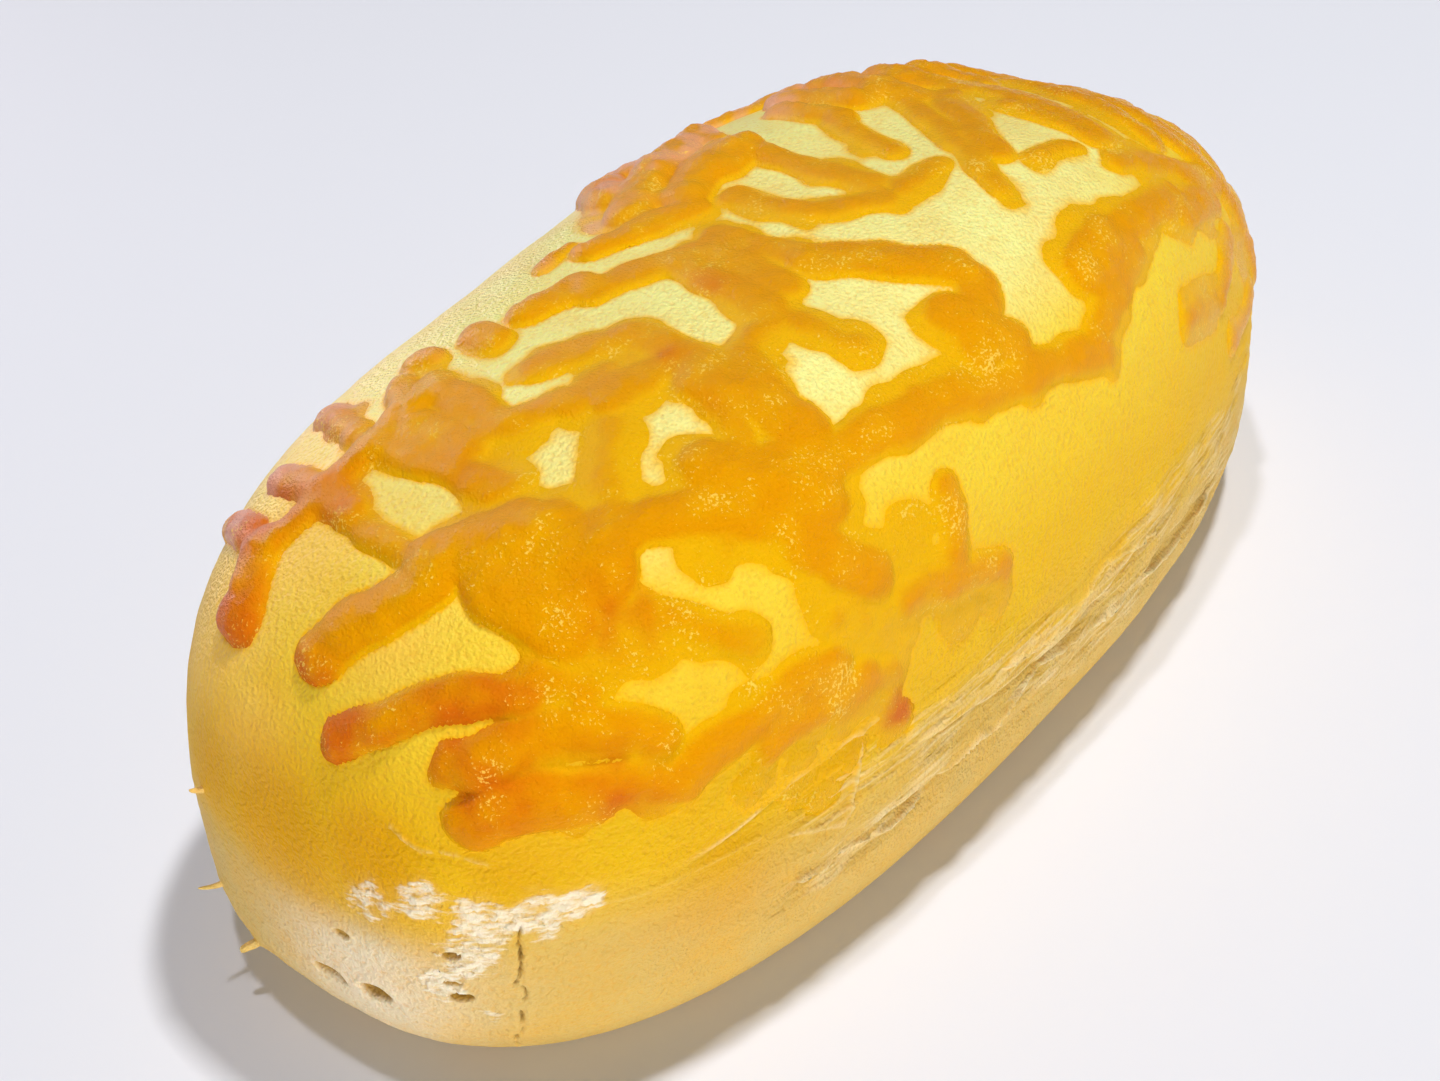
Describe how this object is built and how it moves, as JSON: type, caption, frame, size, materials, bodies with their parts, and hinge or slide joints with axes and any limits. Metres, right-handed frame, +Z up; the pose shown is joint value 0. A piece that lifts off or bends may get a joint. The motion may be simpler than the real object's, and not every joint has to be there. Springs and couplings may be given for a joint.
{
  "type": "cheese bun",
  "caption": "Oval milk-dough bun on a flat base, with melted grated cheese over its crown.",
  "frame": {"origin": "middle of the bounding box, at the level of the flat base", "axes": "+X along the bun towards the end that is farther in the picture, +Z up, the side that the picture shows faces -Y"},
  "size_m": [0.1507, 0.0747, 0.0557],
  "materials": {
    "crust": "soft egg-washed milk-dough crust, satin on the crown, matt and paler low down",
    "cheese": "melted and browned cheddar, oily satin with fine glints"
  },
  "bodies": {
    "root": {"bun": "crust", "melted_cheese": "cheese"}
  },
  "joints": []
}
